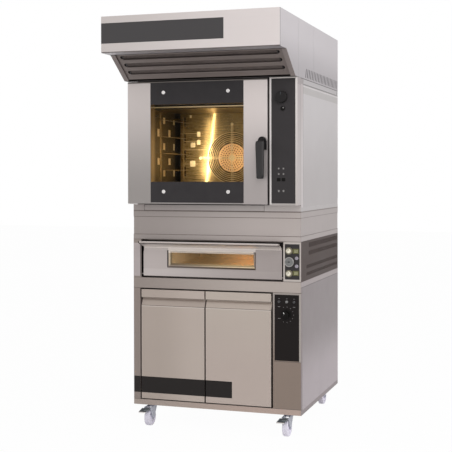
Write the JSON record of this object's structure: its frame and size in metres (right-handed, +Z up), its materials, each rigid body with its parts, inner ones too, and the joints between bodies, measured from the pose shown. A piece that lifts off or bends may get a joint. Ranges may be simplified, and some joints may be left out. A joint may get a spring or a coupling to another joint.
{
  "type": "deck oven",
  "caption": "Bakery oven stack on castors: proving cabinet, stone deck oven with a wide window, convection oven with a glass door, and an extraction hood with a slanted louvre.",
  "frame": {"origin": "on the floor under the middle of the overall box", "axes": "+Z up, the fronts of all modules face -Y, +X to the right of someone who stands in front"},
  "size_m": [1.01, 1.31, 2.378],
  "materials": {
    "hood_steel": "satin",
    "louvre_paint": "satin",
    "galvanised": "dull",
    "filter_metal": "satin",
    "oven_steel": "satin",
    "black_panel": "gloss",
    "window_glass": "clear",
    "chamber_steel": "satin",
    "element_sheath": "matt",
    "black_plastic": "satin",
    "button_metal": "polished",
    "needle_paint": "matt",
    "deck_steel": "satin",
    "vent_paint": "satin",
    "cream_plastic": "gloss",
    "stone": "matt",
    "cabinet_steel": "satin",
    "zinc": "satin",
    "wheel_polymer": "satin",
    "seal_rubber": "matt",
    "lamp_lens": "gloss"
  },
  "bodies": {
    "stack": {"hood_shell": "hood_steel", "hood_fascia": "hood_steel", "hood_louvre": "louvre_paint", "hood_blower": "galvanised", "duct_collar": "galvanised", "fan_motor": "galvanised", "grease_filter": "filter_metal", "oven_column": "oven_steel", "oven_casing": "oven_steel", "oven_base": "oven_steel", "oven_control_plate": "black_panel", "deck_control_plate": "black_panel", "cabinet_control_plate": "black_panel", "oven_cavity": "chamber_steel", "fan_baffle": "chamber_steel", "baking_chamber": "chamber_steel", "proving_chamber": "chamber_steel", "oven_racks": "chamber_steel", "proving_racks": "chamber_steel", "water_pan": "chamber_steel", "heating_elements": "element_sheath", "deck_thermometer": "button_metal", "deck_casing": "deck_steel", "spacer_case": "deck_steel", "deck_vent_panels": "vent_paint", "baking_stones": "stone", "cabinet_frame": "cabinet_steel", "cabinet_panels": "cabinet_steel", "castor_plates": "zinc", "hinge_plates": "zinc", "door_gasket": "seal_rubber", "lamps": "lamp_lens"},
    "left_door": {"left_door": "cabinet_steel"},
    "right_door": {"right_door": "cabinet_steel"},
    "deck_door": {"deck_door": "deck_steel", "deck_door_glass": "window_glass", "deck_door_handle": "deck_steel"},
    "oven_door": {"oven_door": "oven_steel", "oven_door_glass": "window_glass", "glass_buttons": "button_metal"},
    "oven_door_handle": {"oven_door_handle": "black_plastic"},
    "drip_tray": {"drip_tray": "oven_steel"},
    "oven_fan": {"oven_fan": "galvanised"},
    "hood_fan": {"hood_fan": "galvanised"},
    "oven_knob": {"oven_knob": "black_plastic"},
    "power_button": {"power_button": "button_metal"},
    "deck_upper_knob": {"deck_upper_knob": "cream_plastic"},
    "deck_lower_knob": {"deck_lower_knob": "cream_plastic"},
    "thermometer_needle": {"thermometer_needle": "needle_paint"},
    "cabinet_knob": {"cabinet_knob": "black_plastic"},
    "front_left_fork": {"front_left_fork": "zinc"},
    "front_left_wheel": {"front_left_wheel": "wheel_polymer"},
    "front_left_brake_pedal": {"front_left_brake_pedal": "black_plastic"},
    "front_right_fork": {"front_right_fork": "zinc"},
    "front_right_wheel": {"front_right_wheel": "wheel_polymer"},
    "front_right_brake_pedal": {"front_right_brake_pedal": "black_plastic"},
    "rear_left_fork": {"rear_left_fork": "zinc"},
    "rear_left_wheel": {"rear_left_wheel": "wheel_polymer"},
    "rear_right_fork": {"rear_right_fork": "zinc"},
    "rear_right_wheel": {"rear_right_wheel": "wheel_polymer"}
  },
  "joints": [
    {"name": "left_door_hinge", "type": "hinge", "parent": "stack", "child": "left_door", "pos_m": [-0.448, -0.237, 0.479], "axis": [0, 0, -1], "range_deg": [0, 110]},
    {"name": "right_door_hinge", "type": "hinge", "parent": "stack", "child": "right_door", "pos_m": [0.323, -0.237, 0.479], "axis": [0, 0, 1], "range_deg": [0, 110]},
    {"name": "deck_door_hinge", "type": "hinge", "parent": "stack", "child": "deck_door", "pos_m": [-0.0275, -0.225, 0.886], "axis": [1, 0, 0], "range_deg": [0, 90]},
    {"name": "oven_door_hinge", "type": "hinge", "parent": "stack", "child": "oven_door", "pos_m": [-0.485, -0.3, 1.644], "axis": [0, 0, -1], "range_deg": [0, 120]},
    {"name": "oven_door_lever", "type": "hinge", "parent": "oven_door", "child": "oven_door_handle", "pos_m": [0.305, -0.32, 1.648], "axis": [0, 1, 0], "range_deg": [0, 60]},
    {"name": "drip_tray_slide", "type": "slide", "parent": "stack", "child": "drip_tray", "axis": [0, -1, 0], "range_m": [0, 0.3]},
    {"name": "oven_fan_spin", "type": "hinge", "parent": "stack", "child": "oven_fan", "pos_m": [-0.045, 0.24, 1.565], "axis": [0, 1, 0], "continuous": true},
    {"name": "hood_fan_spin", "type": "hinge", "parent": "stack", "child": "hood_fan", "pos_m": [0, 0.43, 2.1335], "axis": [1, 0, 0], "continuous": true},
    {"name": "oven_knob_turn", "type": "hinge", "parent": "stack", "child": "oven_knob", "pos_m": [0.4165, -0.33, 1.886], "axis": [0, 1, 0], "range_deg": [0, 300]},
    {"name": "power_button_press", "type": "slide", "parent": "stack", "child": "power_button", "axis": [0, 1, 0], "range_m": [0, 0.003], "stiffness_N_per_m": 300},
    {"name": "deck_upper_knob_turn", "type": "hinge", "parent": "stack", "child": "deck_upper_knob", "pos_m": [0.4355, -0.25, 1.039], "axis": [0, 1, 0], "range_deg": [0, 270]},
    {"name": "deck_lower_knob_turn", "type": "hinge", "parent": "stack", "child": "deck_lower_knob", "pos_m": [0.4355, -0.25, 0.913], "axis": [0, 1, 0], "range_deg": [0, 270]},
    {"name": "thermometer_needle_turn", "type": "hinge", "parent": "stack", "child": "thermometer_needle", "pos_m": [0.437, -0.25, 0.977], "axis": [0, 1, 0], "range_deg": [-45, 225]},
    {"name": "cabinet_knob_turn", "type": "hinge", "parent": "stack", "child": "cabinet_knob", "pos_m": [0.419, -0.25, 0.6835], "axis": [0, 1, 0], "range_deg": [0, 270]},
    {"name": "front_left_swivel", "type": "hinge", "parent": "stack", "child": "front_left_fork", "pos_m": [-0.416, -0.183, 0.11], "axis": [0, 0, 1], "continuous": true},
    {"name": "front_left_wheel_roll", "type": "hinge", "parent": "front_left_fork", "child": "front_left_wheel", "pos_m": [-0.416, -0.218, 0.05], "axis": [1, 0, 0], "continuous": true},
    {"name": "front_left_brake_press", "type": "hinge", "parent": "front_left_fork", "child": "front_left_brake_pedal", "pos_m": [-0.416, -0.249, 0.1031], "axis": [1, 0, 0], "range_deg": [0, 12]},
    {"name": "front_right_swivel", "type": "hinge", "parent": "stack", "child": "front_right_fork", "pos_m": [0.416, -0.183, 0.11], "axis": [0, 0, 1], "continuous": true},
    {"name": "front_right_wheel_roll", "type": "hinge", "parent": "front_right_fork", "child": "front_right_wheel", "pos_m": [0.416, -0.218, 0.05], "axis": [1, 0, 0], "continuous": true},
    {"name": "front_right_brake_press", "type": "hinge", "parent": "front_right_fork", "child": "front_right_brake_pedal", "pos_m": [0.416, -0.249, 0.1031], "axis": [1, 0, 0], "range_deg": [0, 12]},
    {"name": "rear_left_swivel", "type": "hinge", "parent": "stack", "child": "rear_left_fork", "pos_m": [-0.416, 0.565, 0.11], "axis": [0, 0, 1], "continuous": true},
    {"name": "rear_left_wheel_roll", "type": "hinge", "parent": "rear_left_fork", "child": "rear_left_wheel", "pos_m": [-0.416, 0.6, 0.05], "axis": [1, 0, 0], "continuous": true},
    {"name": "rear_right_swivel", "type": "hinge", "parent": "stack", "child": "rear_right_fork", "pos_m": [0.416, 0.565, 0.11], "axis": [0, 0, 1], "continuous": true},
    {"name": "rear_right_wheel_roll", "type": "hinge", "parent": "rear_right_fork", "child": "rear_right_wheel", "pos_m": [0.416, 0.6, 0.05], "axis": [1, 0, 0], "continuous": true}
  ]
}
